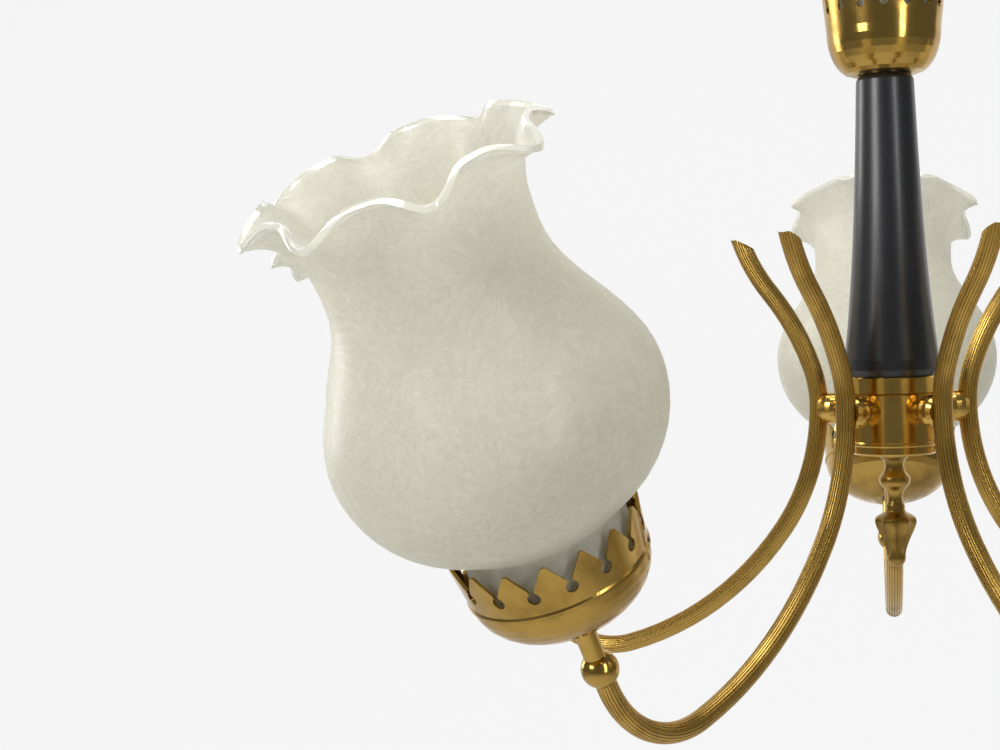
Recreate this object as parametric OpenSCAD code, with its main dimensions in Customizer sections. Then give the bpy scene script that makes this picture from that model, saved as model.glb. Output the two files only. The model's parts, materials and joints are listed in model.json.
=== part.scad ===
// Five-arm hanging chandelier: swept brass arms on a brass hub, a black cone stem
// above it, and a tall flared glass shade held in a toothed gallery on every arm.
// Origin: centre of the ceiling bracket's top face. +Z up, millimetres.

/* [Overall] */
// Distance from the ceiling down to the level where the arms are fixed
hub_drop = 400; // [380:1:460]
// Angle from +X to the first arm
first_arm_angle = 90; // [0:1:359]

/* [Arm] */
// Outer diameter of the arm tube
arm_tube_d = 8; // [7.6:0.1:8.4]
// Wall of the arm tube
arm_tube_wall = 1; // [0.8:0.1:1.1]
// Distance from the chandelier's axis to the tube where it is fixed
arm_reach = 32.4; // [32:0.1:33.5]
// Tilt of the shades away from upright
shade_tilt = 26; // [22:1:28]
// Diameter of the ball below each gallery
ball_d = 13.8; // [13:0.1:15]

/* [Hub and stem] */
// Diameter of the hub
hub_d = 36; // [35.6:0.1:36.4]
// Height of the hub
hub_h = 32.5; // [31:0.5:34]
// Length of the black cone
cone_h = 125; // [110:1:130]
// Diameter of the cone just above its foot
cone_foot_d = 38.8; // [37:0.1:40]
// Diameter of the cone at its top
cone_top_d = 23.6; // [22:0.1:25]
// Outer diameter of the threaded centre tube
centre_tube_d = 10; // [9.8:0.1:10.1]

/* [Gallery] */
// Diameter across the tooth tips
gallery_d = 70; // [69:0.5:71]
// Number of teeth
gallery_teeth = 16; // [12:2:20]
// Diameter of the round hole at the foot of each notch
keyhole_d = 4.4; // [3.6:0.1:4.8]

/* [Shade] */
// Largest diameter of the shade
shade_bulge_d = 117.2; // [110:0.2:120]
// Diameter of the shade's waist
shade_waist_d = 74.4; // [72:0.2:78]
// Diameter of the shade's mouth
shade_mouth_d = 108; // [100:1:112]
// Height of the shade above its collar's foot
shade_h = 147; // [140:1:150]
// Wall of the glass
glass_wall = 3; // [2.6:0.1:3.4]

/* [Ceiling] */
// Diameter of the canopy at its rim
canopy_d = 110; // [104:1:120]
// Distance between the two ceiling screws
bracket_hole_spacing = 66; // [60:1:70]
// Diameter of the holes for the ceiling screws
bracket_hole_d = 5; // [4:0.1:5.5]

/* [Hidden] */
arm_count = 5;

$fn = 64;
joint_gap = 0.05;       // between a screwed or plugged piece and its hole
rest_gap = 0.1;         // between a loose piece and the face it rests on
eps = 0.5;              // how far a cutter runs past the face it cuts

brass = [0.78, 0.6, 0.25];
steel = [0.7, 0.7, 0.72];
white = [0.9, 0.9, 0.87];
black = [0.06, 0.06, 0.07];
glass = [0.86, 0.87, 0.82, 0.6];

// The arm's centreline, in the plane of its azimuth, as steps up and down from the level
// where it is fixed. A step is [bend radius, turn] with a positive turn leading away from
// the axis, or [0, length] for a straight.
arm_tube_r = arm_tube_d / 2;
arm_bore_r = arm_tube_r - arm_tube_wall;
arm_start = [arm_reach, 2];
arm_end_straight = 8;
arm_rise = [[47.5, 19.5], [109, 19.5], [77, -21]];
arm_fall = [[94, 35.5], [149, 36.5], [40.5, 108 - shade_tilt], [0, arm_end_straight]];
tip_cut_angle = 27;     // slope of the sawn upper end, high side outwards
tip_cut_below = 2.4;    // how far below the centreline's end the cut crosses it
bend_step = 7;          // degrees between rings along a bend

// The places along steps, each [outward, along, heading], without the start itself
function places(steps, n = 0, x = 0, y = 0, a = 0) =
    n == len(steps) ? []
    : let (turn = steps[n][1], radius = steps[n][0] * sign(turn),
           count = steps[n][0] == 0 ? 1 : ceil(abs(turn) / bend_step),
           here = steps[n][0] == 0
               ? [[x + turn * sin(a), y + turn * cos(a), a]]
               : [for (m = [1 : count]) let (b = a + turn * m / count)
                     [x + radius * (cos(a) - cos(b)), y + radius * (sin(b) - sin(a)), b]],
           end = here[len(here) - 1])
      concat(here, places(steps, n + 1, end[0], end[1], end[2]));

rise_places = places(arm_rise);
fall_places = places(arm_fall);
function last_of(list) = list[len(list) - 1];
ball_x = arm_start.x + last_of(fall_places)[0];
ball_z = arm_start.y - last_of(fall_places)[1];
tip_x = arm_start.x + last_of(rise_places)[0];
tip_z = arm_start.y + last_of(rise_places)[1];

// The same places as [x, z, heading from +Z], followed from the upper tip to the ball
function going_down(list) = [for (p = list) [arm_start.x + p[0], arm_start.y - p[1], 180 - p[2]]];
arm_places = concat(
    [for (n = [len(rise_places) - 1 : -1 : 0]) let (p = rise_places[n])
        [arm_start.x + p[0], arm_start.y + p[1], 180 + p[2]]],
    [[arm_start.x, arm_start.y, 180]],
    going_down(fall_places));

// Heights up the shade's own axis, measured from the ball's centre
gallery_foot = 20.5;
gallery_bowl_h = 21.5;
gallery_step = 43.4;
gallery_tip = 61;
gallery_wall = 1.2;
keyhole_level = 50.8;
tooth_tip_w = 0.9;
notch_half_w = (PI * gallery_d / gallery_teeth - tooth_tip_w) / 2;
seat_level = gallery_step + rest_gap;
lamp_foot = gallery_foot + gallery_wall;
lamp_h = 44;
lamp_r = 13.5;
lamp_bore_r = 7.5;
lamp_socket_h = 8;      // depth of the hole that takes the gallery's stem
lamp_floor = 16;        // level of the bore's floor above the lampholder's foot
cap_r = 7;
cap_foot = 48;
cap_h = 22;
contact_r = 3;
contact_h = 2.5;
bulb_r = 17.5;
bulb_centre = 98.5;
bulb_neck_r = 12;
bulb_wall = 1;
stem_top = lamp_foot + lamp_socket_h - 1;

collar_r = 29.6;
collar_h = 18;
bulge_level = 59;       // above the collar's foot
waist_level = 116;

// Heights at the axis, measured from the level where the arms are fixed
hub_top = 13.6;
hub_r = hub_d / 2;
hub_bottom = hub_top - hub_h;
hub_wall = 1.6;
hub_plate = 2;
cone_top = hub_top + cone_h;
crown_h = 38;
crown_r = 25.4;
crown_foot_r = 12.5;
crown_step = 19;        // height of the rounded part above the foot
crown_lip = 2;          // how much further out the rim is than the rounded part
crown_wall = 1.2;
crown_teeth = 16;
crown_notch_half_w = (2 * PI * crown_r / crown_teeth - tooth_tip_w) / 2;
stem_glass_h = 104;
stem_glass_end_r = 20.5;
stem_glass_belly = 9.5; // how much wider it is half-way up
stem_glass_seat = crown_wall + 2 * rest_gap + crown_step * (1 - sqrt(1 - pow(
    (stem_glass_end_r - crown_foot_r) / (crown_r - crown_lip - crown_wall - crown_foot_r), 2)));
stem_glass_foot = cone_top + stem_glass_seat;
top_crown_h = 30;
top_crown_top = stem_glass_foot + stem_glass_h + stem_glass_seat;
centre_tube_r = centre_tube_d / 2;
centre_bore_r = 3.6;
feed_wire_r = 2.2;
suspension_r = 6.5;
suspension_top = hub_drop - 18;
thread_overlap = 18;
boss_neck_r = 4.4;
boss_r = 6.8;
nipple_r = 3;
nipple_bore_r = 2.1;
nipple_inner_end = 12;
wire_r = 1.2;
wire_bend = 3.6;
saddle_bend = 62;       // radius of the hollow in which a boss holds its arm
terminal_r = 9;
terminal_h = 10;
nut_h = 3.8;
nut_across = 14;
cone_wall = 2;
cone_round = 7;         // height of the rounded foot
cone_chamfer = 1.2;

bracket_t = 2;
bracket_w = 18;
bracket_drop = 10;
bracket_end = 10;       // from a screw hole's centre to the bracket's end
terminal_block_size = [22, 13, 11];
terminal_screws = [4, 11, 18];
canopy_h = 38;
canopy_wall = 1.5;
canopy_gap = 0.5;       // between the canopy's rim and the ceiling
canopy_neck_r = 11;
canopy_rim_h = 6;
canopy_bore_r = suspension_r + 0.5;
clamp_r = 10;
clamp_h = 10;
clamp_screw_r = 1.5;

// ---- Placement ----

module at_hub() { translate([0, 0, -hub_drop]) children(); }

module on_arm(i) {
    rotate([0, 0, first_arm_angle + (i - 1) * 360 / arm_count]) at_hub() children();
}

module on_shade_axis(i) {
    on_arm(i) translate([ball_x, 0, ball_z]) rotate([0, shade_tilt, 0]) children();
}

module each_arm() { for (i = [1 : arm_count]) on_arm(i) children(); }

// ---- Shared shapes ----

module ring(r_out, r_in, h) {
    difference() {
        cylinder(r = r_out, h = h);
        translate([0, 0, -eps]) cylinder(r = r_in, h = h + 2 * eps);
    }
}

module hex_nut(across, r_in, h) {
    difference() {
        cylinder(r = across / 2 / cos(30), h = h, $fn = 6);
        translate([0, 0, -eps]) cylinder(r = r_in, h = h + 2 * eps);
    }
}

// The points of a round of radius r at every place, in the plane y = 0
function tube_points(path, r, sides) = [for (p = path) for (k = [0 : sides - 1])
    let (a = k * 360 / sides, d = r * cos(a)) [p[0] + d * cos(p[2]), r * sin(a), p[1] - d * sin(p[2])]];

// A hollow tube along a path, as one closed surface
module swept_tube(path, r_out, r_in, sides = 12) {
    last = len(path) - 1;
    inner = sides * (last + 1);
    function at(n, k) = n * sides + k % sides;
    polyhedron(concat(tube_points(path, r_out, sides), tube_points(path, r_in, sides)), concat(
        [for (n = [0 : last - 1]) for (k = [0 : sides - 1])
            [at(n, k), at(n + 1, k), at(n + 1, k + 1), at(n, k + 1)]],
        [for (n = [0 : last - 1]) for (k = [0 : sides - 1])
            [inner + at(n, k), inner + at(n, k + 1), inner + at(n + 1, k + 1), inner + at(n + 1, k)]],
        [for (k = [0 : sides - 1]) [at(0, k), at(0, k + 1), inner + at(0, k + 1), inner + at(0, k)]],
        [for (k = [0 : sides - 1])
            [at(last, k), inner + at(last, k), inner + at(last, k + 1), at(last, k + 1)]]));
}

// A solid round bar along a path, as one closed surface
module swept_bar(path, r, sides = 8) {
    last = len(path) - 1;
    function at(n, k) = n * sides + k % sides;
    polyhedron(tube_points(path, r, sides), concat(
        [for (n = [0 : last - 1]) for (k = [0 : sides - 1])
            [at(n, k), at(n + 1, k), at(n + 1, k + 1), at(n, k + 1)]],
        [[for (k = [0 : sides - 1]) at(0, k)]],
        [[for (k = [sides - 1 : -1 : 0]) at(last, k)]]));
}

// Turned wall: outer and inner outlines as [radius, height] points, foot to top
module turned_wall(outer, inner) {
    rotate_extrude() polygon(concat(outer, [for (n = [len(inner) - 1 : -1 : 0]) inner[n]]));
}

// Pointed teeth: a keyhole and a V notch, cut right across between every two teeth
module notches(count, r, hole_d, hole_level, top, half_w, phase) {
    for (n = [0 : count / 2 - 1]) rotate([0, 0, (n + phase) * 360 / count]) {
        translate([0, 0, hole_level]) rotate([90, 0, 0]) cylinder(d = hole_d, h = 2 * r, center = true);
        translate([0, r, hole_level]) rotate([90, 0, 0]) linear_extrude(2 * r)
            polygon([[-0.7, 0], [0.7, 0], [1.1, hole_d / 2 + 1], [half_w, top - hole_level + eps],
                     [-half_w, top - hole_level + eps], [-1.1, hole_d / 2 + 1]]);
    }
}

// ---- Ceiling fixing ----

module ceiling_bracket() {
    half_l = bracket_hole_spacing / 2 + bracket_end;
    leg_x = bracket_hole_spacing / 2 - bracket_end - bracket_t;
    tongue = [24, 20, bracket_t];
    color(steel) difference() {
        union() {
            translate([0, bracket_w / 2, 0]) rotate([90, 0, 0]) linear_extrude(bracket_w) polygon([
                [-half_l, 0], [-leg_x, 0], [-leg_x, bracket_t - bracket_drop],
                [leg_x, bracket_t - bracket_drop], [leg_x, 0], [half_l, 0], [half_l, -bracket_t],
                [leg_x + bracket_t, -bracket_t], [leg_x + bracket_t, -bracket_drop],
                [-leg_x - bracket_t, -bracket_drop], [-leg_x - bracket_t, -bracket_t],
                [-half_l, -bracket_t]]);
            translate([-tongue.x / 2, bracket_w / 2 - 1, -bracket_drop]) cube(tongue);
        }
        for (side = [-1, 1]) translate([side * bracket_hole_spacing / 2, 0, -bracket_t - eps])
            cylinder(d = bracket_hole_d, h = bracket_t + 2 * eps);
        translate([0, 0, -bracket_drop - eps])
            cylinder(r = centre_tube_r + joint_gap, h = bracket_t + 2 * eps);
    }
}

module ceiling_nipple() {
    foot = suspension_top - hub_drop - thread_overlap;
    color(steel) translate([0, 0, foot]) ring(centre_tube_r, centre_bore_r, -3 - foot);
}

module ceiling_nuts() {
    color(steel) for (z = [-bracket_drop + bracket_t, -bracket_drop - nut_h])
        translate([0, 0, z]) hex_nut(nut_across, centre_tube_r + joint_gap, nut_h);
}

module terminal_block() {
    size = terminal_block_size;
    wire_level = 4;
    color(white) translate([-size.x / 2, 14, -bracket_drop - size.z]) difference() {
        cube(size);
        for (x = terminal_screws) translate([x, -eps, wire_level]) rotate([-90, 0, 0])
            cylinder(r = 1.6, h = size.y + 2 * eps, $fn = 24);
        for (x = terminal_screws) translate([x, size.y / 2, -eps])
            cylinder(r = 1.5, h = wire_level + eps, $fn = 24);
    }
}

function canopy_line(r, depth) = concat(
    [[canopy_neck_r, -depth]],
    [for (a = [-80 : 10 : 0])
        [canopy_neck_r + (r - canopy_neck_r) * cos(a),
         -canopy_rim_h + (depth - canopy_rim_h - 2) * sin(a)]],
    [[r, 0]]);

module canopy() {
    r = canopy_d / 2;
    color(brass) translate([0, 0, -canopy_gap]) turned_wall(
        concat([[canopy_bore_r, -canopy_h]], canopy_line(r, canopy_h)),
        concat([[canopy_bore_r, canopy_wall - canopy_h]],
               canopy_line(r - canopy_wall, canopy_h - canopy_wall)));
}

module canopy_collar() {
    color(brass) translate([0, 0, -canopy_gap - canopy_h - clamp_h]) difference() {
        ring(clamp_r, suspension_r + joint_gap, clamp_h);
        translate([0, 0, clamp_h / 2]) rotate([90, 0, 0])
            cylinder(r = clamp_screw_r + 2 * joint_gap, h = clamp_r + 2);
    }
}

module collar_screw() {
    color(brass) translate([0, 0, -canopy_gap - canopy_h - clamp_h / 2]) rotate([90, 0, 0]) {
        translate([0, 0, suspension_r + joint_gap])
            cylinder(r = clamp_screw_r, h = clamp_r + 1 - suspension_r);
        translate([0, 0, clamp_r + 0.2]) cylinder(r = 2 * clamp_screw_r, h = 4);
    }
}

// ---- Column, from the top down ----

module suspension_tube() {
    color(brass) at_hub() translate([0, 0, top_crown_top])
        ring(suspension_r, centre_tube_r + joint_gap, suspension_top - top_crown_top);
}

// A crown's face that lies inset behind its outer one, foot to rim
function crown_line(h, inset) = concat(
    [[centre_tube_r + joint_gap, inset], [crown_foot_r, inset]],
    [for (a = [-70 : 10 : 0])
        [crown_foot_r + (crown_r - crown_lip - inset - crown_foot_r) * cos(a),
         inset + crown_step * (1 + sin(a))]],
    [[crown_r - inset, h]]);

module crown_shell(h) { turned_wall(crown_line(h, 0), crown_line(h, crown_wall)); }

module top_crown() {
    color(brass) at_hub() translate([0, 0, top_crown_top]) mirror([0, 0, 1]) crown_shell(top_crown_h);
}

module crown() {
    notch_level = crown_h - 11;
    color(brass) at_hub() translate([0, 0, cone_top]) difference() {
        crown_shell(crown_h);
        notches(crown_teeth, crown_r + 2, 3.2, notch_level, crown_h, crown_notch_half_w, 0);
    }
}

function stem_glass_line(inset) = [
    for (z = [0 : stem_glass_h / 13 : stem_glass_h])
        [stem_glass_end_r + stem_glass_belly * pow(sin(180 * z / stem_glass_h), 4) - inset, z]];

module stem_glass() {
    color(glass) at_hub() translate([0, 0, stem_glass_foot])
        turned_wall(stem_glass_line(0), stem_glass_line(glass_wall));
}

// The cone's face above its rounded foot: a straight taper with a slight flare to the foot
function cone_line(inset) = [
    for (t = [0 : 0.125 : 1])
        [cone_top_d / 2 + (cone_foot_d - cone_top_d) / 2 * (0.55 * (1 - t) + 0.45 * pow(1 - t, 3)) - inset,
         cone_round + t * (cone_h - cone_round - cone_wall)]];

module cone() {
    bore = centre_tube_r + joint_gap;
    toe_r = 17.4;
    color(black) at_hub() translate([0, 0, hub_top]) turned_wall(
        concat([[bore, 0], [toe_r, 0], [toe_r + 1.6, 3]], cone_line(0),
               [[cone_top_d / 2 - cone_chamfer, cone_h], [bore, cone_h]]),
        concat([[bore, cone_wall], [toe_r - cone_wall, cone_wall], [toe_r - 0.6, 4]],
               cone_line(cone_wall), [[bore, cone_h - cone_wall]]));
}

module centre_tube() {
    foot = hub_bottom + hub_plate + 0.5;
    color(steel) at_hub() difference() {
        translate([0, 0, foot]) ring(centre_tube_r, centre_bore_r, top_crown_top + thread_overlap - foot);
        rotate([90, 0, 0]) translate([0, 0, -eps])
            cylinder(r = feed_wire_r + 0.2, h = centre_tube_r + 2 * eps);
    }
}

module centre_nuts() {
    color(steel) at_hub() for (z = [hub_top - hub_plate - nut_h, cone_top + crown_wall])
        translate([0, 0, z]) hex_nut(nut_across, centre_tube_r + joint_gap, nut_h);
}

module feed_wire() {
    color(white) at_hub() cylinder(r = feed_wire_r, h = hub_drop - 4);
}

module hub_cap() {
    color(brass) at_hub() translate([0, 0, hub_top - hub_plate])
        ring(hub_r - hub_wall - joint_gap, centre_tube_r + joint_gap, hub_plate);
}

module hub_base() {
    color(brass) at_hub() translate([0, 0, hub_bottom])
        ring(hub_r - hub_wall - joint_gap, nipple_r + joint_gap, hub_plate);
}

module hub() {
    color(brass) at_hub() difference() {
        rotate_extrude() polygon([
            [hub_r - hub_wall, hub_bottom], [hub_r - 1.2, hub_bottom], [hub_r - 0.3, hub_bottom + 0.9],
            [hub_r - 0.3, hub_bottom + 3.6], [hub_r + 0.4, hub_bottom + 4.3],
            [hub_r + 0.4, hub_bottom + 5], [hub_r, hub_bottom + 5.7],
            [hub_r, hub_top - 7.4], [hub_r - 0.5, hub_top - 7], [hub_r + 0.4, hub_top - 6.6],
            [hub_r + 0.4, hub_top - 0.4], [hub_r, hub_top], [hub_r - hub_wall, hub_top]]);
        for (i = [0 : arm_count - 1]) rotate([0, 0, first_arm_angle + i * 360 / arm_count])
            rotate([0, 90, 0]) cylinder(r = nipple_r + joint_gap, h = hub_r + 2);
    }
}

module hub_terminal() {
    color(white) at_hub() translate([0, 0, -terminal_h / 2])
        ring(terminal_r, centre_tube_r + joint_gap, terminal_h);
}

module finial() {
    color(brass) at_hub() translate([0, 0, hub_bottom]) {
        rotate_extrude() polygon([
            [0, 0], [6.5, 0], [6.5, -1.4], [4.2, -2.6], [3.9, -6], [4.6, -8], [6.1, -9.4], [6.5, -11.4],
            [6.1, -13.2], [4.4, -14.8], [3.1, -17.4], [3, -20.4], [4, -21.8], [4.1, -23], [3.6, -24.2],
            [5.2, -25.4], [8.2, -26.8], [9, -28.4], [8.5, -30.4], [6.2, -35], [4.4, -39.6], [3.6, -43],
            [3.9, -44.6], [3.1, -46.6], [1.4, -47.8], [0, -48]]);
        cylinder(r = nipple_r, h = hub_plate + 0.4);
    }
}

// ---- Arm fixings ----

module arm_bosses() {
    color(brass) each_arm() difference() {
        rotate([0, 90, 0]) rotate_extrude() polygon([
            [nipple_r + joint_gap, 15], [boss_neck_r, 15], [boss_neck_r, 21.4], [5.4, 22.4],
            [6.3, 23.6], [boss_r, 25.4], [boss_r, 27.4], [6.4, 29.4], [5.4, 31.2],
            [nipple_r + joint_gap, 31.2]]);
        translate([0, 0, -hub_h / 2]) cylinder(r = hub_r + joint_gap, h = hub_h);
        translate([arm_start.x + saddle_bend, 0, 1]) rotate([90, 0, 0])
            rotate_extrude() translate([saddle_bend, 0]) circle(r = arm_tube_r + 3 * joint_gap);
    }
}

module arm_nipples() {
    color(steel) each_arm() rotate([0, 90, 0]) translate([0, 0, nipple_inner_end])
        ring(nipple_r, nipple_bore_r, arm_start.x - nipple_inner_end - 2.4);
}

module arm_locknuts() {
    color(steel) each_arm() rotate([0, 90, 0]) translate([0, 0, nipple_inner_end + 0.6])
        hex_nut(9, nipple_r + joint_gap, 2.6);
}

module arm_wires() {
    low = arm_start.y + wire_bend + 2;
    bend = [for (a = [90 : 15 : 180])
        [arm_start.x - wire_bend * (1 + cos(a)), -wire_bend * (1 - sin(a)), a]];
    up_to_lamp = going_down([for (p = places(concat(arm_fall, [[0, stem_top]])))
        if (p[1] > low || p[0] > 9) p]);
    color(white) each_arm()
        swept_bar(concat([[terminal_r + 0.3, 0, 90]], bend, up_to_lamp), wire_r);
}

module gallery_stems() {
    color(brass) for (i = [1 : arm_count]) on_shade_axis(i) translate([0, 0, 2 * rest_gap])
        ring(arm_tube_r, arm_bore_r, stem_top - 2 * rest_gap);
}

// ---- One arm, from the hub outwards ----

module arm(i) {
    color(brass) on_arm(i) difference() {
        swept_tube(arm_places, arm_tube_r, arm_bore_r);
        rotate([0, 90, 0]) cylinder(r = nipple_r + joint_gap, h = arm_start.x);
        translate([tip_x, 0, tip_z - tip_cut_below]) rotate([0, -tip_cut_angle, 0])
            translate([-2 * arm_tube_d, -arm_tube_d, 0]) cube([4, 2, 2] * arm_tube_d);
    }
}

module ball(i) {
    color(brass) on_shade_axis(i) difference() {
        sphere(d = ball_d);
        translate([0, 0, -ball_d]) cylinder(r = arm_tube_r + joint_gap, h = 2 * ball_d);
    }
}

function bowl_line(r, foot, rise) = [
    for (a = [-72 : 9 : 0]) [r * cos(a), foot + rise * (1 + sin(a))]];

module gallery(i) {
    r = gallery_d / 2;
    step_r = r - 2.2;
    color(brass) on_shade_axis(i) difference() {
        turned_wall(
            concat([[arm_tube_r + joint_gap, gallery_foot], [8, gallery_foot]],
                   bowl_line(step_r, gallery_foot, gallery_bowl_h),
                   [[r - 1.6, gallery_step - 1], [r - 1.6, gallery_step], [r - 2, gallery_step + 0.8],
                    [r, gallery_tip]]),
            concat([[arm_tube_r + joint_gap, lamp_foot], [8, lamp_foot]],
                   bowl_line(step_r - 4.6, lamp_foot, gallery_bowl_h - gallery_wall),
                   [[step_r - 4.6, gallery_step], [r - 3.2, gallery_step],
                    [r - gallery_wall, gallery_tip]]));
        notches(gallery_teeth, r + 2, keyhole_d, keyhole_level, gallery_tip, notch_half_w, 0.5);
    }
}

module lampholder(i) {
    skirt_h = 22;
    lip_h = 3;
    color(black) on_shade_axis(i) translate([0, 0, lamp_foot]) rotate_extrude() polygon([
        [arm_tube_r + joint_gap, 0], [7.6, 0], [7.6, 1.6], [lamp_r, 4.2], [lamp_r, skirt_h],
        [lamp_r - 1, skirt_h], [lamp_r - 1, lamp_h - lip_h], [lamp_r, lamp_h - lip_h],
        [lamp_r, lamp_h], [lamp_bore_r, lamp_h], [lamp_bore_r, lamp_floor], [0, lamp_floor],
        [0, lamp_socket_h], [arm_tube_r + joint_gap, lamp_socket_h]]);
}

function shade_line(inset) = concat(
    [[collar_r - inset, 0], [collar_r - inset, collar_h]],
    [for (a = [-66 : 11 : 0])
        [20 + (shade_bulge_d / 2 - 20) * cos(a) - inset,
         bulge_level + (bulge_level - collar_h - 1) * sin(a)]],
    [for (t = [0.125 : 0.125 : 1])
        [(shade_bulge_d + shade_waist_d) / 4
             + (shade_bulge_d - shade_waist_d) / 4 * cos(180 * t) - inset,
         bulge_level + (waist_level - bulge_level) * t]],
    [for (t = [0.2 : 0.2 : 1])
        [shade_waist_d / 2 + (shade_mouth_d - shade_waist_d) / 2 * pow(t, 1.6) - inset,
         waist_level + (shade_h - waist_level) * t]]);

module shade(i) {
    color(glass) on_shade_axis(i) translate([0, 0, seat_level])
        turned_wall(shade_line(0), shade_line(glass_wall));
}

module bulb_cap(i) {
    color(steel) on_shade_axis(i) translate([0, 0, cap_foot]) {
        cylinder(r = cap_r, h = cap_h);
        translate([0, 0, -contact_h]) cylinder(r = contact_r, h = contact_h);
    }
}

module bulb(i) {
    neck_h = bulb_centre - cap_foot - cap_h - bulb_neck_r;
    color(white) on_shade_axis(i) difference() {
        union() {
            translate([0, 0, bulb_centre]) sphere(r = bulb_r);
            translate([0, 0, cap_foot + cap_h]) cylinder(r = bulb_neck_r, h = neck_h);
        }
        translate([0, 0, bulb_centre]) sphere(r = bulb_r - bulb_wall);
        translate([0, 0, cap_foot + cap_h + bulb_wall])
            cylinder(r = bulb_neck_r - bulb_wall, h = neck_h);
    }
}

ceiling_bracket();
ceiling_nipple();
ceiling_nuts();
terminal_block();
canopy();
canopy_collar();
collar_screw();
suspension_tube();
top_crown();
stem_glass();
crown();
cone();
centre_tube();
centre_nuts();
feed_wire();
hub_cap();
hub();
hub_base();
hub_terminal();
finial();
arm_bosses();
arm_nipples();
arm_locknuts();
arm_wires();
gallery_stems();
for (i = [1 : arm_count]) {
    arm(i);
    ball(i);
    gallery(i);
    lampholder(i);
    shade(i);
    bulb_cap(i);
    bulb(i);
}
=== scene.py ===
"""Finish and fine shapes of a five-arm chandelier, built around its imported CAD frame."""

import json
import math

import bpy
from bpy.props import FloatProperty, FloatVectorProperty, IntProperty, PointerProperty
from mathutils import Matrix, Vector


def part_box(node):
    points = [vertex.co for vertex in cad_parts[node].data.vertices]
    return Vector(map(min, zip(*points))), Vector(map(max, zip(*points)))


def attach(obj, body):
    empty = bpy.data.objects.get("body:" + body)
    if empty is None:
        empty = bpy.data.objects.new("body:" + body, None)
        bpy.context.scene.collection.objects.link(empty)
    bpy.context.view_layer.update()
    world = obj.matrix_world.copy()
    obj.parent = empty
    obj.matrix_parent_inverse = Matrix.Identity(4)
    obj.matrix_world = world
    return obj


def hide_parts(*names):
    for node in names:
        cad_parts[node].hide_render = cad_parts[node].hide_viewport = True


bl_info = {
    "name": "Five-arm chandelier",
    "version": (1, 0, 0),
    "blender": (4, 5, 0),
    "location": "3D View > Sidebar > Chandelier",
    "description": "Ruffled ice-glass shades, reeded brass arms, cast finial and their finishes",
    "category": "Object",
}

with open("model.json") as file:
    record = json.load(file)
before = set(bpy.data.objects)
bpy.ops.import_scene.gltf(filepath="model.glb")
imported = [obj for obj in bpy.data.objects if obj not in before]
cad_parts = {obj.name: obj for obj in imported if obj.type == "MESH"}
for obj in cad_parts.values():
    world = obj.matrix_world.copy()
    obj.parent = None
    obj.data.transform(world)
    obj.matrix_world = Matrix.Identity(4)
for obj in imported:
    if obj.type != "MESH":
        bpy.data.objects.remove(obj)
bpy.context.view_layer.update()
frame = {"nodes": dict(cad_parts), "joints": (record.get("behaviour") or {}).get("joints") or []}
JOINTS = {joint["name"]: joint for joint in frame["joints"]}
ARM_NUMBERS = range(1, 1 + sum(name.startswith("shade_lift") for name in JOINTS))
NEAREST_ARM = 3
MM = 0.001


# ---- Sizes and colours a user may change ----


def length(name, text, value):
    """A size in metres."""
    return FloatProperty(name=name, description=text, default=value, unit="LENGTH", precision=4)


def angle(name, text, degrees):
    """An angle, given in degrees."""
    return FloatProperty(name=name, description=text, default=math.radians(degrees), unit="ROTATION")


def colour(name, text, value):
    """A linear colour."""
    return FloatVectorProperty(name=name, description=text, default=value, size=3, subtype="COLOR",
                               min=0, max=1)


class ArmSizes(bpy.types.PropertyGroup):
    tube: length("Tube", "Outer diameter of the arm tube", 0.008)
    wall: length("Wall", "Wall of the arm tube at its sawn end", 0.001)
    reach: length("Reach", "Distance from the stem's axis to the tube where it is fixed", 0.0324)
    fixing: length("Fixing", "Height at which the tube stands upright beside the hub", -0.398)
    reeds: IntProperty(name="Reeds", description="Ridges round the tube", default=20, min=12, max=40)
    reed_depth: length("Reed depth", "Depth of the grooves between the ridges", 0.00016)
    cut_slope: angle("Cut slope", "Slope of the sawn upper end, high side outwards", 27)


class ShadeSizes(bpy.types.PropertyGroup):
    collar: length("Collar", "Radius of the collar that stands in the gallery", 0.0296)
    bulge: length("Bulge", "Largest radius of the glass", 0.0586)
    waist: length("Waist", "Radius at the waist", 0.0372)
    wall: length("Wall", "Thickness of the glass", 0.0021)
    seat: length("Seat", "Distance from the ball to the collar's foot", 0.0435)
    lobes: IntProperty(name="Lobes", description="Lobes round the ruffled mouth", default=8, min=5, max=12)
    frill: length("Frill", "Length of the glass from waist to edge, along its wall", 0.0368)
    lobe_fall: angle("Lobe fall", "How far the edge of a lobe has turned away from upright", 97)
    crest_fall: angle("Crest fall", "How far the edge between two lobes has turned", 46)
    first_lobe: angle("First lobe", "Turn of the first lobe from the side that leans outwards", 15)
    turn_step: angle("Turn step", "How much further each next shade is turned in its gallery", 17)


class Finishes(bpy.types.PropertyGroup):
    brass: colour("Brass", "Polished brass", (0.64, 0.40, 0.095))
    patina: colour("Patina", "Brown film on old brass", (0.11, 0.058, 0.014))
    glass: colour("Glass", "Ice glass seen from the front", (0.84, 0.81, 0.70))
    lacquer: colour("Lacquer", "Black satin lacquer", (0.012, 0.012, 0.014))


# ---- Shader expressions ----


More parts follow.
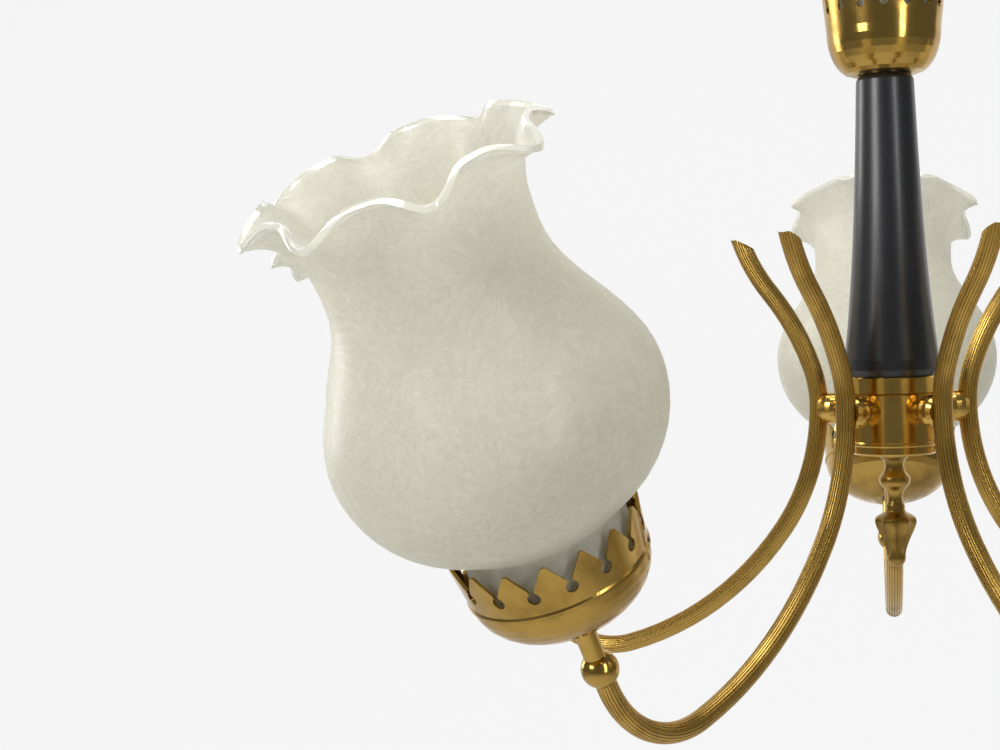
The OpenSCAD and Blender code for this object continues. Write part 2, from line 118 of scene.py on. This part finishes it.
class Wire:
    """A socket in a material, with arithmetic that adds Math nodes."""

    def __init__(self, shader, socket):
        self.shader = shader
        self.socket = socket

    def math(self, operation, *values):
        return self.shader.node("ShaderNodeMath", {"operation": operation}, values)

    def __add__(self, other):
        return self.math("ADD", self, other)

    __radd__ = __add__

    def __sub__(self, other):
        return self.math("SUBTRACT", self, other)

    def __rsub__(self, other):
        return self.math("SUBTRACT", other, self)

    def __mul__(self, other):
        return self.math("MULTIPLY", self, other)

    __rmul__ = __mul__

    def between(self, low, high):
        """0 below low, 1 above high and a straight ramp in between."""
        return self.shader.node("ShaderNodeMapRange", {"clamp": True}, (self, low, high, 0, 1))


class Shader:
    """A material whose nodes are added by one method and joined by expressions."""

    def __init__(self, name):
        self.material = bpy.data.materials.new(name)
        self.material.use_nodes = True
        self.tree = self.material.node_tree
        self.tree.nodes.clear()
        self.output = self.tree.nodes.new("ShaderNodeOutputMaterial")

    def node(self, kind, settings=None, inputs=(), output=0):
        """Adds a node, sets its settings, then its sockets by place or by name."""
        new = self.tree.nodes.new(kind)
        for key, value in (settings or {}).items():
            setattr(new, key, value)
        pairs = inputs.items() if isinstance(inputs, dict) else enumerate(inputs)
        for key, value in pairs:
            if value is None:
                continue
            if isinstance(value, Wire):
                self.tree.links.new(value.socket, new.inputs[key])
            else:
                new.inputs[key].default_value = value
        return Wire(self, new.outputs[output])

    def place(self):
        """Object coordinates."""
        return self.node("ShaderNodeTexCoord", output="Object")

    def noise(self, where, scale, detail=3, roughness=0.5, distortion=0.0, output=0):
        return self.node("ShaderNodeTexNoise", {"noise_dimensions": "3D"},
                         {"Vector": where, "Scale": scale, "Detail": detail,
                          "Roughness": roughness, "Distortion": distortion}, output)

    def mix(self, factor, first, second):
        """A blend of two colours."""
        made = self.tree.nodes.new("ShaderNodeMix")
        made.data_type = "RGBA"
        sockets = [s for s in made.inputs if s.enabled]
        for socket, value in zip(sockets, (factor, first, second)):
            if isinstance(value, Wire):
                self.tree.links.new(value.socket, socket)
            else:
                socket.default_value = (*value, 1) if hasattr(value, "__len__") else value
        return Wire(self, next(s for s in made.outputs if s.enabled))

    def vector(self, operation, *values, output=0):
        return self.node("ShaderNodeVectorMath", {"operation": operation}, values, output)

    def bump(self, height, strength, distance=0.001):
        return self.node("ShaderNodeBump", None,
                         {"Strength": strength, "Distance": distance, "Height": height})

    def principled(self, **inputs):
        named = {key.replace("_", " ").title().replace("Ior", "IOR"): value
                 for key, value in inputs.items()}
        return self.node("ShaderNodeBsdfPrincipled", None, named, "BSDF")

    def finish(self, surface):
        self.tree.links.new(surface.socket, self.output.inputs["Surface"])
        return self.material


def finishes():
    return bpy.context.scene.chandelier_finishes


def brass_material(name, tone=1.0, film=0.35, gloss=0.16, groove=None):
    """Old polished brass: cloudy film, fine hand-polish scratches, brown film in the hollows."""
    s = Shader(name)
    where = s.place()
    cloud = s.noise(where, 38, 5, 0.62)
    speck = s.noise(where, 900, 2, 0.5)
    scratch = s.noise(s.vector("MULTIPLY", where, (1.0, 1.0, 0.12)), 1500, 2, 0.6)
    dirt = cloud.between(0.48, 0.74) * film + speck.between(0.66, 0.8) * 0.25 * film
    if groove:
        dirt = dirt + s.node("ShaderNodeAttribute", {"attribute_name": groove}, output="Fac") * 0.75
    dirt = dirt.between(0, 1)
    bright = Vector(finishes().brass) * tone
    base = s.mix(dirt, tuple(bright), tuple(finishes().patina))
    rough = dirt * 0.28 + cloud * 0.08 + gloss
    surface = s.principled(
        base_color=base, metallic=1.0, roughness=rough,
        normal=s.bump(scratch + speck * 0.5, 0.10, 0.0002))
    return s.finish(surface)


def fan(s, where, patches, fibres):
    """Fine fibres that fan out from a point in every patch, patches per metre apart."""
    point = s.node("ShaderNodeTexVoronoi", {"voronoi_dimensions": "3D", "feature": "F1"},
                   {"Vector": where, "Scale": patches}, "Position")
    away = s.vector("SUBTRACT", where, point)
    ray = s.vector("SCALE", s.vector("NORMALIZE", away), None, None, fibres)
    along = s.vector("SCALE", away, None, None, 70.0)
    own = s.vector("SCALE", point, None, None, 400.0)
    return s.noise(s.vector("ADD", s.vector("ADD", ray, along), own), 1.0, 4, 0.62, 0.2)


def glass_material(name, body_share=0.84):
    """Frosted glass with feathery ice flowers: patches of fine fibres that each run their own way."""
    s = Shader(name)
    where = s.place()
    drift = s.vector("SUBTRACT", s.noise(where, 22, 3, 0.5, output="Color"), (0.5, 0.5, 0.5))
    bent = s.vector("ADD", where, s.vector("SCALE", drift, None, None, 0.022))
    fine = fan(s, bent, 36.0, 10.0)
    broad = fan(s, s.vector("ADD", bent, (0.31, 0.17, 0.23)), 21.0, 6.0)
    feather = fine.between(0.38, 0.68) * 0.6 + broad.between(0.36, 0.66) * 0.4
    cloud = s.noise(bent, 16, 3, 0.5)
    grain = s.noise(where, 2200, 2, 0.5)
    milk = cloud * 0.5 + feather * 0.5
    pale = Vector(finishes().glass)
    tint = s.mix(milk, (pale.x * 0.92, pale.y * 0.92, pale.z * 0.90), (0.98, 0.965, 0.90))
    relief = s.bump(feather * 0.7 + grain * 0.25, 0.35, 0.0006)
    outer = s.principled(base_color=tint, roughness=0.42 - feather * 0.12, normal=relief,
                         ior=1.5, coat_weight=0.25, coat_roughness=0.18)
    through = s.node("ShaderNodeBsdfTranslucent", None, {"Color": tint, "Normal": relief})
    body = s.node("ShaderNodeMixShader", None, (0.52, outer, through))
    clear = s.node("ShaderNodeBsdfTransparent", None, {"Color": (0.93, 0.95, 0.93, 1)})
    veil = (milk * 0.18 + (body_share - 0.09)).between(0, 1)
    return s.finish(s.node("ShaderNodeMixShader", None, (veil, clear, body)))


def rim_material(name):
    """The fire-polished edge of the shade: clear, thick and slightly creamy."""
    s = Shader(name)
    where = s.place()
    streak = s.noise(where, 260, 3, 0.6)
    tint = s.mix(streak, (0.93, 0.91, 0.78), (0.98, 0.97, 0.90))
    gloss = s.principled(base_color=tint, roughness=streak * 0.1 + 0.06, ior=1.5,
                         transmission_weight=0.55, coat_weight=0.8, coat_roughness=0.04,
                         normal=s.bump(streak, 0.12, 0.0004))
    return s.finish(gloss)


def lacquer_material():
    s = Shader("black_lacquer")
    where = s.place()
    orange_peel = s.noise(where, 420, 2, 0.5)
    dust = s.noise(where, 2600, 2, 0.6).between(0.68, 0.8)
    base = s.mix(dust * 0.35, tuple(finishes().lacquer), (0.11, 0.11, 0.115))
    return s.finish(s.principled(
        base_color=base, roughness=orange_peel * 0.10 + 0.30, ior=1.5, coat_weight=0.25,
        coat_roughness=0.22, normal=s.bump(orange_peel, 0.08, 0.0004)))


def plain_material(name, light, dark, rough, scale=300, metallic=0.0):
    """Moulded, plated or sheathed small parts: two near tones, mottled, with a fine surface."""
    s = Shader(name)
    where = s.place()
    mottle = s.noise(where, scale, 4, 0.6)
    fine = s.noise(where, scale * 8, 2, 0.5)
    return s.finish(s.principled(
        base_color=s.mix(mottle, dark, light), metallic=metallic,
        roughness=mottle * 0.12 + rough, normal=s.bump(fine, 0.06, 0.0003)))


def bulb_material():
    """Opal glass of an unlit bulb."""
    s = Shader("opal_glass")
    where = s.place()
    haze = s.noise(where, 60, 3, 0.5)
    tint = s.mix(haze, (0.86, 0.86, 0.83), (0.95, 0.95, 0.92))
    return s.finish(s.principled(base_color=tint, roughness=haze * 0.08 + 0.12, ior=1.5,
                                 subsurface_weight=0.3, coat_weight=0.6, coat_roughness=0.04))


# ---- Modelling helpers ----


def start_clean():
    if bpy.context.object and bpy.context.object.mode != "OBJECT":
        bpy.ops.object.mode_set(mode="OBJECT")
    bpy.ops.object.select_all(action="DESELECT")


def new_ring(name, count, radius, height):
    """A circle to extrude from, in edit mode, all selected."""
    start_clean()
    bpy.ops.mesh.primitive_circle_add(vertices=count, radius=radius, location=(0, 0, height))
    ring = bpy.context.object
    ring.name = name
    bpy.ops.object.transform_apply(location=True, rotation=True, scale=True)
    bpy.ops.object.mode_set(mode="EDIT")
    bpy.ops.mesh.select_all(action="SELECT")
    return ring


def lathe(name, outline, count=96, closed=True):
    """A turned piece: a circle extruded and scaled from point to point of its outline."""
    radius, height = outline[0]
    piece = new_ring(name, count, max(radius, 1e-5), height)
    for next_radius, next_height in outline[1:]:
        bpy.ops.mesh.extrude_edges_move(
            TRANSFORM_OT_translate={"value": (0, 0, next_height - height)})
        scale = max(next_radius, 1e-5) / max(radius, 1e-5)
        bpy.ops.transform.resize(value=(scale, scale, 1), center_override=(0, 0, 0))
        radius, height = next_radius, next_height
    bpy.ops.mesh.select_all(action="SELECT")
    if closed:
        bpy.ops.mesh.remove_doubles(threshold=2e-5)
    bpy.ops.mesh.normals_make_consistent(inside=False)
    bpy.ops.object.mode_set(mode="OBJECT")
    return piece


def smooth(piece, degrees=40):
    start_clean()
    piece.select_set(True)
    bpy.context.view_layer.objects.active = piece
    bpy.ops.object.shade_smooth_by_angle(angle=math.radians(degrees))


def modify(piece, kind, **settings):
    """Adds a modifier and applies it."""
    start_clean()
    piece.select_set(True)
    bpy.context.view_layer.objects.active = piece
    modifier = piece.modifiers.new(kind.title(), kind)
    for key, value in settings.items():
        setattr(modifier, key, value)
    bpy.ops.object.modifier_apply(modifier=modifier.name)


def placed_copy(source, name, matrix, body, replaced):
    """A copy with its own mesh, put in place in its mesh, riding on a body."""
    piece = source.copy()
    piece.data = source.data.copy()
    piece.name = name
    piece.data.name = name
    bpy.context.scene.collection.objects.link(piece)
    piece.data.transform(matrix)
    settle(piece, body, replaced)
    return piece


def settle(piece, body, replaced):
    """Puts a finished piece on the body it rides on and hides the CAD parts it stands for."""
    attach(piece, body)
    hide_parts(*replaced)


def drop(piece):
    bpy.data.objects.remove(piece, do_unlink=True)


def assign(names, material):
    for name in names:
        node = frame["nodes"][name]
        node.data.materials.clear()
        node.data.materials.append(material)


def numbered(*parts):
    return [f"{part}_{n}" for part in parts for n in ARM_NUMBERS]


def shade_axis(n):
    """The upright line that a shade is built round, turned and tilted to its place on arm n."""
    joint = JOINTS[f"bulb_turn_{n}"]
    axis = Vector(joint["axis"]).normalized()
    lamp_centre = Vector(joint["pos_m"])
    ball = Vector(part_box(f"ball_{n}")[0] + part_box(f"ball_{n}")[1]) / 2
    foot = ball + axis * (lamp_centre - ball).dot(axis)
    foot -= axis * (foot - ball).length
    side = Vector((0, 0, 1)).cross(axis).normalized()
    outward = side.cross(axis)
    turn = Matrix((outward, side, axis)).transposed().to_4x4()
    return Matrix.Translation(foot) @ turn


def arm_turn(n):
    """The turn about the stem's axis that takes +X to arm n."""
    axis = JOINTS[f"shade_lift_{n}"]["axis"]
    return Matrix.Rotation(math.atan2(axis[1], axis[0]), 4, "Z")


# ---- Shades ----


def shade_outline(sizes):
    """Radius and height of the glass's outer face, from the collar's foot to the waist."""
    bulge_level = 0.059
    collar_h = 0.018
    waist_level = 0.116
    points = [(sizes.collar, 0), (sizes.collar, collar_h * 0.5), (sizes.collar, collar_h)]
    for step in range(10):
        turn = math.radians(-63 + 7 * step)
        points.append((0.020 + (sizes.bulge - 0.020) * math.cos(turn),
                       bulge_level + (bulge_level - collar_h - 0.001) * math.sin(turn)))
    middle = (sizes.bulge + sizes.waist) / 2
    swing = (sizes.bulge - sizes.waist) / 2
    for step in range(13):
        share = step / 12
        points.append((middle + swing * math.cos(math.pi * share),
                       bulge_level + (waist_level - bulge_level) * share))
    return points


def frill_place(sizes, lobe, along):
    """Radius gained and height gained, that far along the frill, where lobe is 1 on a lobe's middle."""
    fall = sizes.crest_fall + (sizes.lobe_fall - sizes.crest_fall) * lobe
    steps = 24
    out = up = 0.0
    for step in range(steps):
        share = along * (step + 0.5) / steps
        out += math.sin(fall * share ** 1.9) / steps
        up += math.cos(fall * share ** 1.9) / steps
    return out * along * sizes.frill, up * along * sizes.frill


class CHANDELIER_OT_shades(bpy.types.Operator):
    """Ruffled ice-glass shade, modelled once and copied to every arm"""

    bl_idname = "chandelier.shades"
    bl_label = "Shades"

    def execute(self, context):
        sizes = context.scene.chandelier_shade
        rings = 18
        waist = shade_outline(sizes)[-1]
        frill = [(sizes.waist, waist[1] + (step + 1) * MM) for step in range(rings)]
        count = sizes.lobes * 20
        shade = lathe("shade_master", shade_outline(sizes) + frill, count, closed=False)
        for face in shade.data.polygons:
            face.material_index = int(face.center.z > waist[1] + (rings - 1) * MM)
        for vertex in shade.data.vertices:
            if vertex.co.z <= waist[1] + MM / 2:
                continue
            along = (vertex.co.z - waist[1]) / MM / rings
            around = math.atan2(vertex.co.y, vertex.co.x)
            lobe = (0.5 + 0.5 * math.cos(sizes.lobes * around)) ** 1.6
            out, up = frill_place(sizes, lobe, along)
            radius = sizes.waist + out
            vertex.co = (radius * math.cos(around), radius * math.sin(around), waist[1] + up)
        modify(shade, "SOLIDIFY", thickness=sizes.wall, offset=-1.0, use_rim=True,
               use_quality_normals=True, material_offset=0, material_offset_rim=1)
        modify(shade, "BEVEL", width=0.0008, segments=3, limit_method="ANGLE",
               angle_limit=math.radians(60), material=1)
        smooth(shade, 60)
        glass = glass_material("ice_glass")
        rim = rim_material("glass_rim")
        for n in ARM_NUMBERS:
            turned = Matrix.Rotation(sizes.first_lobe + (n - NEAREST_ARM) * sizes.turn_step, 4, "Z")
            place = shade_axis(n) @ Matrix.Translation((0, 0, sizes.seat)) @ turned
            piece = placed_copy(shade, f"ruffled_shade_{n}", place, f"glass_{n}", [f"shade_{n}"])
            piece.data.materials.append(glass)
            piece.data.materials.append(rim)
        drop(shade)
        return {"FINISHED"}


# ---- Arms ----


# Going down from the sawn end: each bend's radius, and its turn in degrees from up towards outwards.
ARM_BENDS = ((0.077, 21), (0.109, -19.5), (0.0475, -19.5), (0.094, -35.5), (0.149, -36.5),
             (0.0405, -82))
ARM_END_STRAIGHT = 0.008
RISING_BENDS = 3
CUT_BELOW_TOP = 0.0024
BORE_DEPTH = 0.006


def arm_bends_with_places(sizes):
    """Each bend with its start (x, z), heading and centre, worked out from the place at the hub."""
    x, z, heading = sizes.reach, sizes.fixing, 180.0
    placed = []
    for radius, turn in reversed(ARM_BENDS[:RISING_BENDS]):
        centre, (x, z, heading) = bend_round(x, z, heading, radius, turn, -1)
        placed.insert(0, (x, z, heading, centre, turn))
    x, z, heading = sizes.reach, sizes.fixing, 180.0
    for radius, turn in ARM_BENDS[RISING_BENDS:]:
        centre, after = bend_round(x, z, heading, radius, turn, 1)
        placed.append((x, z, heading, centre, turn))
        x, z, heading = after
    return placed, (x, z, heading)


def bend_round(x, z, heading, radius, turn, way):
    """The bend's centre, and the place at its other end, following it forwards or back."""
    side = math.copysign(radius, turn)
    now, then = math.radians(heading), math.radians(heading + way * turn)
    centre = (x + side * math.cos(now), z - side * math.sin(now))
    end = (centre[0] - side * math.cos(then), centre[1] + side * math.sin(then), heading + way * turn)
    return centre, end


class CHANDELIER_OT_arms(bpy.types.Operator):
    """Reeded brass arm tube, modelled once and copied round the hub"""

    bl_idname = "chandelier.arms"
    bl_label = "Arms"

    def execute(self, context):
        sizes = context.scene.chandelier_arm
        bends, end = arm_bends_with_places(sizes)
        x, z, heading = bends[0][:3]
        per_reed = 4
        arm = new_ring("arm_master", sizes.reeds * per_reed, sizes.tube / 2, 0)
        bpy.ops.object.mode_set(mode="OBJECT")
        hollow = arm.data.attributes.new("groove", "FLOAT", "POINT")
        for vertex in arm.data.vertices:
            if vertex.index % per_reed == 0:
                vertex.co *= 1 - sizes.reed_depth / (sizes.tube / 2)
                hollow.data[vertex.index].value = 1.0
        arm.data.transform(Matrix.Translation((x, 0, z)) @ Matrix.Rotation(math.radians(heading), 4, "Y"))
        bpy.ops.object.mode_set(mode="EDIT")
        bpy.ops.mesh.select_all(action="SELECT")
        for _, _, _, centre, turn in bends:
            bpy.ops.mesh.spin(steps=max(4, round(abs(turn) / 3)), angle=-math.radians(turn),
                              center=(centre[0], 0, centre[1]), axis=(0, 1, 0))
        heading = math.radians(end[2])
        along = Vector((math.sin(heading), 0, math.cos(heading))) * ARM_END_STRAIGHT
        bpy.ops.mesh.extrude_edges_move(TRANSFORM_OT_translate={"value": along})
        bpy.ops.mesh.select_all(action="SELECT")
        slope = sizes.cut_slope
        bpy.ops.mesh.bisect(plane_co=(x, 0, z - CUT_BELOW_TOP),
                            plane_no=(-math.sin(slope), 0, math.cos(slope)),
                            use_fill=True, clear_outer=True)
        bpy.ops.mesh.inset(thickness=sizes.wall * 0.9, depth=0)
        top_heading = math.radians(bends[0][2])
        inward = Vector((math.sin(top_heading), 0, math.cos(top_heading))) * BORE_DEPTH
        bpy.ops.mesh.extrude_region_move(TRANSFORM_OT_translate={"value": inward})
        bpy.ops.mesh.select_all(action="SELECT")
        bpy.ops.mesh.normals_make_consistent(inside=False)
        bpy.ops.object.mode_set(mode="OBJECT")
        smooth(arm, 50)
        arm.data.materials.append(brass_material("reeded_brass", 0.92, 0.5, 0.20, "groove"))
        for n in ARM_NUMBERS:
            placed_copy(arm, f"reeded_arm_{n}", arm_turn(n), "frame", [f"arm_{n}"])
        drop(arm)
        return {"FINISHED"}


# ---- Finial ----

FINIAL_OUTLINE = (
    (0, 0), (6.5, 0), (6.5, -1.4), (4.6, -2.4), (3.9, -4.2), (3.9, -6), (4.6, -8), (6.0, -9.3),
    (6.5, -10.6), (6.5, -11.8), (6.0, -13.2), (4.4, -14.8), (3.4, -16.4), (3.0, -18.4), (3.0, -20.4),
    (3.9, -21.6), (4.1, -22.6), (3.6, -24.0), (5.2, -25.4), (7.6, -26.4), (8.8, -27.4), (9.0, -28.4),
    (8.7, -30), (7.6, -32.5), (6.4, -35), (5.3, -37.5), (4.4, -40), (3.7, -43), (4.0, -44.6),
    (3.2, -46.6), (1.5, -47.7), (0, -48))
FLUTED_FROM, FLUTED_TO = 26.0, 43.5


class CHANDELIER_OT_finial(bpy.types.Operator):
    """Cast brass finial with a fluted, tapering body"""

    bl_idname = "chandelier.finial"
    bl_label = "Finial"

    def execute(self, context):
        flutes = 10
        finial = lathe("cast_finial", [(r * MM, z * MM) for r, z in FINIAL_OUTLINE], flutes * 10)
        modify(finial, "SUBSURF", levels=1, render_levels=1)
        for vertex in finial.data.vertices:
            below = -vertex.co.z / MM
            if FLUTED_FROM < below < FLUTED_TO:
                share = math.sin(math.pi * (below - FLUTED_FROM) / (FLUTED_TO - FLUTED_FROM)) ** 0.6
                around = math.atan2(vertex.co.y, vertex.co.x)
                groove = 1 - 0.16 * share * abs(math.cos(flutes * around / 2)) ** 0.7
                vertex.co.x *= groove
                vertex.co.y *= groove
        finial.data.transform(Matrix.Translation((0, 0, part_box("hub_base")[0].z)))
        smooth(finial, 50)
        finial.data.materials.append(brass_material("cast_brass", 0.72, 0.85, 0.22))
        settle(finial, "frame", ["finial"])
        return {"FINISHED"}


# ---- Stage ----


class CHANDELIER_OT_stage(bpy.types.Operator):
    """Pale floor and backdrop, soft studio lights and the camera"""

    bl_idname = "chandelier.stage"
    bl_label = "Stage"

    def execute(self, context):
        scene = context.scene
        self.sweep()
        self.soft_box("key", (-1.1, -1.2, 0.35), (0.55, 1.1), 20)
        self.soft_box("fill", (0.9, -1.2, -0.1), (0.22, 1.2), 7)
        self.soft_box("top", (0.0, -0.1, 0.9), (0.9, 0.9), 10)
        self.soft_box("rim", (-1.3, 0.5, 0.0), (0.4, 1.2), 9)
        world = bpy.data.worlds.new("studio")
        world.use_nodes = True
        world.node_tree.nodes["Background"].inputs["Color"].default_value = (0.85, 0.88, 0.92, 1)
        world.node_tree.nodes["Background"].inputs["Strength"].default_value = 0.2
        scene.world = world
        scene.view_settings.view_transform = "Standard"
        camera_data = bpy.data.cameras.new("camera")
        camera_data.lens = 60.3
        camera_data.sensor_width = 36
        camera = bpy.data.objects.new("camera", camera_data)
        scene.collection.objects.link(camera)
        right = Vector((0.97658, 0.21237, -0.03461))
        up = Vector((0.02491, 0.04817, 0.99853))
        back = right.cross(up)
        turn = Matrix((right, up, back)).transposed().to_4x4()
        camera.matrix_world = Matrix.Translation((-0.01044, -0.71992, -0.35109)) @ turn
        scene.camera = camera
        return {"FINISHED"}

    def sweep(self):
        """A floor that curves up into a wall behind."""
        start_clean()
        depth, width, floor, radius = 3.0, 9.0, -1.3, 1.2
        bpy.ops.mesh.primitive_plane_add(size=1, location=(0, 0, 0))
        sweep = bpy.context.object
        sweep.name = "backdrop"
        sweep.data.transform(Matrix.Translation((0, -0.5, floor)) @ Matrix.Diagonal((width, 5.0, 1, 1)))
        bpy.ops.object.mode_set(mode="EDIT")
        bpy.ops.mesh.select_all(action="DESELECT")
        bpy.ops.object.mode_set(mode="OBJECT")
        for edge in sweep.data.edges:
            edge.select = all(sweep.data.vertices[v].co.y > 1.9 for v in edge.vertices)
        bpy.ops.object.mode_set(mode="EDIT")
        bpy.ops.mesh.select_mode(type="EDGE")
        bpy.ops.mesh.spin(steps=16, angle=math.radians(-90), center=(0, 2.0, floor + radius),
                          axis=(1, 0, 0))
        bpy.ops.mesh.extrude_edges_move(TRANSFORM_OT_translate={"value": (0, 0, depth)})
        bpy.ops.mesh.select_mode(type="VERT")
        bpy.ops.object.mode_set(mode="OBJECT")
        smooth(sweep, 60)
        s = Shader("pale_backdrop")
        grain = s.noise(s.place(), 3, 3, 0.5)
        wall = s.node("ShaderNodeSeparateXYZ", None, (s.place(),), "Y").between(0.8, 2.2)
        ground = s.mix(grain, (0.64, 0.64, 0.64), (0.68, 0.68, 0.68))
        sweep.data.materials.append(s.finish(s.principled(
            base_color=s.mix(wall, ground, (0.05, 0.05, 0.05)),
            roughness=0.9, specular_ior_level=0.0,
            emission_color=s.mix(wall, (0.08, 0.08, 0.08), (0.89, 0.89, 0.89)), emission_strength=1.0)))

    def soft_box(self, name, place, size, power):
        data = bpy.data.lights.new(name, "AREA")
        data.shape = "RECTANGLE"
        data.size, data.size_y = size
        data.energy = power
        light = bpy.data.objects.new(name, data)
        bpy.context.scene.collection.objects.link(light)
        light.location = place
        light.rotation_euler = (Vector((0, 0, -0.4)) - Vector(place)).to_track_quat("-Z", "Y").to_euler()


class CHANDELIER_OT_metalwork(bpy.types.Operator):
    """Finishes of the hub, galleries, balls, crowns, canopy and the small steel parts"""

    bl_idname = "chandelier.metalwork"
    bl_label = "Metalwork"

    def execute(self, context):
        polished = brass_material("polished_brass", 1.0, 0.3, 0.13)
        assign(["canopy", "canopy_collar", "collar_screw", "suspension_tube", "top_crown",
                "hub_cap", "hub", "hub_base", "arm_bosses"], polished)
        assign(["crown"] + numbered("ball", "gallery"), brass_material("gallery_brass", 0.78, 0.6, 0.12))
        assign(["gallery_stems"], brass_material("stem_brass", 0.9, 0.45, 0.2))
        assign(["cone"], lacquer_material())
        steel = plain_material("zinc_steel", (0.70, 0.71, 0.73), (0.55, 0.56, 0.58), 0.28, 200, 1.0)
        assign(["ceiling_bracket", "ceiling_nipple", "ceiling_nuts", "centre_tube", "centre_nuts",
                "arm_nipples", "arm_locknuts"], steel)
        assign(["stem_glass"], glass_material("stem_ice_glass"))
        return {"FINISHED"}


class CHANDELIER_OT_electrics(bpy.types.Operator):
    """Finishes of lampholders, bulbs, terminals and leads"""

    bl_idname = "chandelier.electrics"
    bl_label = "Lamps and leads"

    def execute(self, context):
        black = plain_material("black_plastic", (0.025, 0.025, 0.025), (0.012, 0.012, 0.012), 0.38)
        white = plain_material("white_plastic", (0.86, 0.86, 0.82), (0.78, 0.78, 0.74), 0.25)
        nickel = plain_material("nickel_cap", (0.72, 0.70, 0.66), (0.60, 0.58, 0.54), 0.18, 260, 1.0)
        sheath = plain_material("wire_sheath", (0.84, 0.84, 0.80), (0.76, 0.76, 0.72), 0.35)
        assign(numbered("lampholder"), black)
        assign(["terminal_block", "hub_terminal"], white)
        assign(["feed_wire", "arm_wires"], sheath)
        assign(numbered("bulb_cap"), nickel)
        assign(numbered("bulb"), bulb_material())
        return {"FINISHED"}


class CHANDELIER_PT_panel(bpy.types.Panel):
    """The chandelier's sizes, finishes and pieces"""

    bl_label = "Chandelier"
    bl_space_type = "VIEW_3D"
    bl_region_type = "UI"
    bl_category = "Chandelier"

    def draw(self, context):
        for group in (context.scene.chandelier_arm, context.scene.chandelier_shade,
                      context.scene.chandelier_finishes):
            box = self.layout.box()
            for key in group.__annotations__:
                box.prop(group, key)
        for operator in OPERATORS:
            self.layout.operator(operator.bl_idname)


GROUPS = {"chandelier_arm": ArmSizes, "chandelier_shade": ShadeSizes, "chandelier_finishes": Finishes}
OPERATORS = (CHANDELIER_OT_stage, CHANDELIER_OT_shades, CHANDELIER_OT_arms, CHANDELIER_OT_finial,
             CHANDELIER_OT_metalwork, CHANDELIER_OT_electrics)


def register():
    for kind in (*GROUPS.values(), *OPERATORS, CHANDELIER_PT_panel):
        bpy.utils.register_class(kind)
    for name, kind in GROUPS.items():
        setattr(bpy.types.Scene, name, PointerProperty(type=kind))


def unregister():
    for name in GROUPS:
        delattr(bpy.types.Scene, name)
    for kind in reversed((*GROUPS.values(), *OPERATORS, CHANDELIER_PT_panel)):
        bpy.utils.unregister_class(kind)


def main():
    register()
    bpy.ops.chandelier.stage()
    bpy.ops.chandelier.shades()
    bpy.ops.chandelier.arms()
    bpy.ops.chandelier.finial()
    bpy.ops.chandelier.metalwork()
    bpy.ops.chandelier.electrics()


if __name__ == "__main__":
    main()
